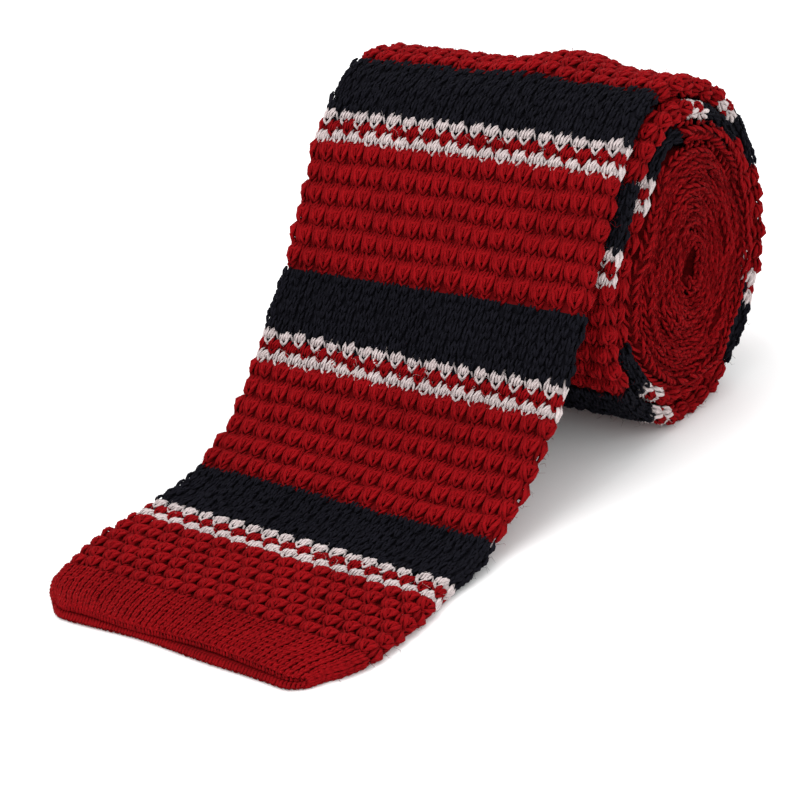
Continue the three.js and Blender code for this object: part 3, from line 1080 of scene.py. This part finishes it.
class KNITTIE_OT_neckband(bpy.types.Operator):
    """Knit the plain neckband's two folded edges, which show as the ends of the roll"""

    bl_idname = "knit_tie.neckband"
    bl_label = "Knit the neckband"
    bl_options = {"REGISTER", "UNDO"}

    def execute(self, context):
        sizes, (red, _, _) = context.scene.knit_tie_sizes, wools(context.scene.knit_tie_wool)
        rng = np.random.default_rng(7)
        knit = KnitMesh()
        step = sizes.neck_stitch_length / MM
        rows = np.arange(STRIPED_LENGTH + step / 2, TIE_LENGTH - 1, step)
        edges = np.array([-1.0, 1.0]) * FOLD_MIDDLE
        for beside in (-CHAIN_BESIDE, CHAIN_BESIDE):
            across, along = (grid.ravel() for grid in np.meshgrid(edges + beside, rows + beside * 0.3))
            across, along = (places + rng.normal(0, 0.16, len(places)) for places in (across, along))
            ground = chain_ground(along) + rng.normal(0, 0.1, len(along))
            outer = np.abs(across) < FOLD_MIDDLE
            ground = ground + outer * np.interp(along - STRIPED_LENGTH, *OUTER_CHAIN_FULLER)
            size = (1.0, step / CHAIN_DRAWN_LENGTH)
            lay_motif(knit, EDGE_STITCH, across, along, ground, CHAIN_HEIGHT, size, 1.0, rng)
        length, radius = sizes.fibre_length / MM, sizes.fibre_radius / MM
        along = rng.uniform(STRIPED_LENGTH, TIE_LENGTH, SHORT_FIBRES)
        across = rng.choice(edges, SHORT_FIBRES) + rng.uniform(-1.2, 1.2, SHORT_FIBRES)
        lay_fibres(knit, across, along, np.full(SHORT_FIBRES, 0.5), length * 0.8, radius, rng)
        along = rng.uniform(STRIPED_LENGTH, TIE_LENGTH - 5, LONG_FIBRES)
        across = rng.choice(edges, LONG_FIBRES) + rng.uniform(-1.6, 1.6, LONG_FIBRES)
        lay_long_fibres(knit, across, along, chain_ground(along) + 0.55, length * 2.2, radius * 1.2, rng)
        place_stitches(knit.make("neckband_stitches", (red,)), "neckband")
        return {"FINISHED"}


class KNITTIE_OT_cloth(bpy.types.Operator):
    """Make the cloth that the stitches stand on"""

    bl_idname = "knit_tie.cloth"
    bl_label = "Make the cloth"
    bl_options = {"REGISTER", "UNDO"}

    def execute(self, context):
        red, navy, _ = wools(context.scene.knit_tie_wool)
        cloth = make_cloth((red, navy))
        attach(cloth, "root")
        return {"FINISHED"}


# The soft lights: their share of the main light's power, their size and their place, in metres
LIGHTS = {
    "Key light": (1.0, 0.9, (-0.24, -0.3, 0.92)),
    "Fill light": (0.45, 0.8, (0.75, -0.35, 0.45)),
    "Back light": (0.3, 0.5, (-0.1, 0.7, 0.7)),
}
LIGHT_TARGET = (0, 0, 0.02)
WORLD_STRENGTH = 0.85
SENSOR_WIDTH = 36
CAMERA_SHIFT = 0.0025


def soft_light(name, energy, size, place):
    """A square soft light that faces the tie."""
    data = bpy.data.lights.new(name, "AREA")
    data.energy = energy
    data.shape = "SQUARE"
    data.size = size
    light = bpy.data.objects.new(name, data)
    light.location = place
    light.rotation_euler = (Vector(place) - Vector(LIGHT_TARGET)).to_track_quat("Z", "Y").to_euler()
    bpy.context.scene.collection.objects.link(light)


class KNITTIE_OT_stage(bpy.types.Operator):
    """Lay the pale table and set the soft lights and the camera"""

    bl_idname = "knit_tie.stage"
    bl_label = "Set the stage"
    bl_options = {"REGISTER", "UNDO"}

    def execute(self, context):
        stage = context.scene.knit_tie_stage
        self.lay_floor(stage)
        for name, (share, size, place) in LIGHTS.items():
            soft_light(name, stage.light_power * share, size, place)
        world = bpy.data.worlds.new("Studio")
        world.use_nodes = True
        sky = {"Color": (1, 1, 1, 1), "Strength": WORLD_STRENGTH}
        fill(world.node_tree, world.node_tree.nodes["Background"], sky)
        context.scene.world = world
        context.scene.view_settings.view_transform = "Standard"
        self.set_camera(stage)
        return {"FINISHED"}

    def lay_floor(self, stage):
        """A wide pale table, which is no part of the tie."""
        bpy.ops.mesh.primitive_plane_add(size=8, location=(0, 0, 0))
        floor = bpy.context.active_object
        floor.name = "Floor"
        material = bpy.data.materials.new("Table")
        material.use_nodes = True
        look = {"Base Color": (*stage.floor_colour, 1), "Roughness": 0.9, "Specular IOR Level": 0.1}
        fill(material.node_tree, material.node_tree.nodes["Principled BSDF"], look)
        floor.data.materials.append(material)

    def set_camera(self, stage):
        """The camera looks at its target from the turn and the height given, and leans by its tilt."""
        turn, height, tilt = stage.camera_turn, stage.camera_height, stage.camera_tilt
        level = Vector((math.cos(turn), math.sin(turn), 0))
        away = Vector((math.sin(turn), -math.cos(turn), 0))
        behind = away * math.cos(height) + Vector((0, 0, math.sin(height)))
        upright = behind.cross(level)
        right = level * math.cos(tilt) + upright * math.sin(tilt)
        up = upright * math.cos(tilt) - level * math.sin(tilt)
        data = bpy.data.cameras.new("Camera")
        data.sensor_width = SENSOR_WIDTH
        data.lens = stage.focal_length
        data.shift_y = CAMERA_SHIFT
        data.clip_start = 0.01
        camera = bpy.data.objects.new("Camera", data)
        camera.matrix_world = Matrix((right, up, behind)).transposed().to_4x4()
        camera.location = Vector(stage.camera_target) + behind * stage.camera_distance
        bpy.context.scene.collection.objects.link(camera)
        bpy.context.scene.camera = camera


STEPS = (
    KNITTIE_OT_hem,
    KNITTIE_OT_red_bands,
    KNITTIE_OT_trim_bands,
    KNITTIE_OT_navy_bands,
    KNITTIE_OT_neckband,
    KNITTIE_OT_cloth,
    KNITTIE_OT_stage,
)


class KNITTIE_PT_steps(bpy.types.Panel):
    """Lists the steps of making the tie and the values that they use"""

    bl_idname = "KNITTIE_PT_steps"
    bl_label = "Knit tie"
    bl_space_type = "VIEW_3D"
    bl_region_type = "UI"
    bl_category = "Knit tie"

    def draw(self, context):
        for step in STEPS:
            self.layout.operator(step.bl_idname)
        for settings in ("knit_tie_sizes", "knit_tie_wool", "knit_tie_stage"):
            group = getattr(context.scene, settings)
            box = self.layout.box()
            for name in group.__annotations__:
                box.prop(group, name)


GROUPS = {"knit_tie_sizes": KnitTieSizes, "knit_tie_wool": KnitTieWool, "knit_tie_stage": KnitTieStage}


def register():
    for group in (*GROUPS.values(), *STEPS, KNITTIE_PT_steps):
        bpy.utils.register_class(group)
    for name, group in GROUPS.items():
        setattr(bpy.types.Scene, name, bpy.props.PointerProperty(type=group))


def unregister():
    for name in GROUPS:
        delattr(bpy.types.Scene, name)
    for group in reversed((*GROUPS.values(), *STEPS, KNITTIE_PT_steps)):
        bpy.utils.unregister_class(group)


def main():
    register()
    bpy.ops.knit_tie.hem()
    bpy.ops.knit_tie.red_bands()
    bpy.ops.knit_tie.trim_bands()
    bpy.ops.knit_tie.navy_bands()
    bpy.ops.knit_tie.neckband()
    bpy.ops.knit_tie.cloth()
    bpy.ops.knit_tie.stage()


if __name__ == "__main__":
    main()
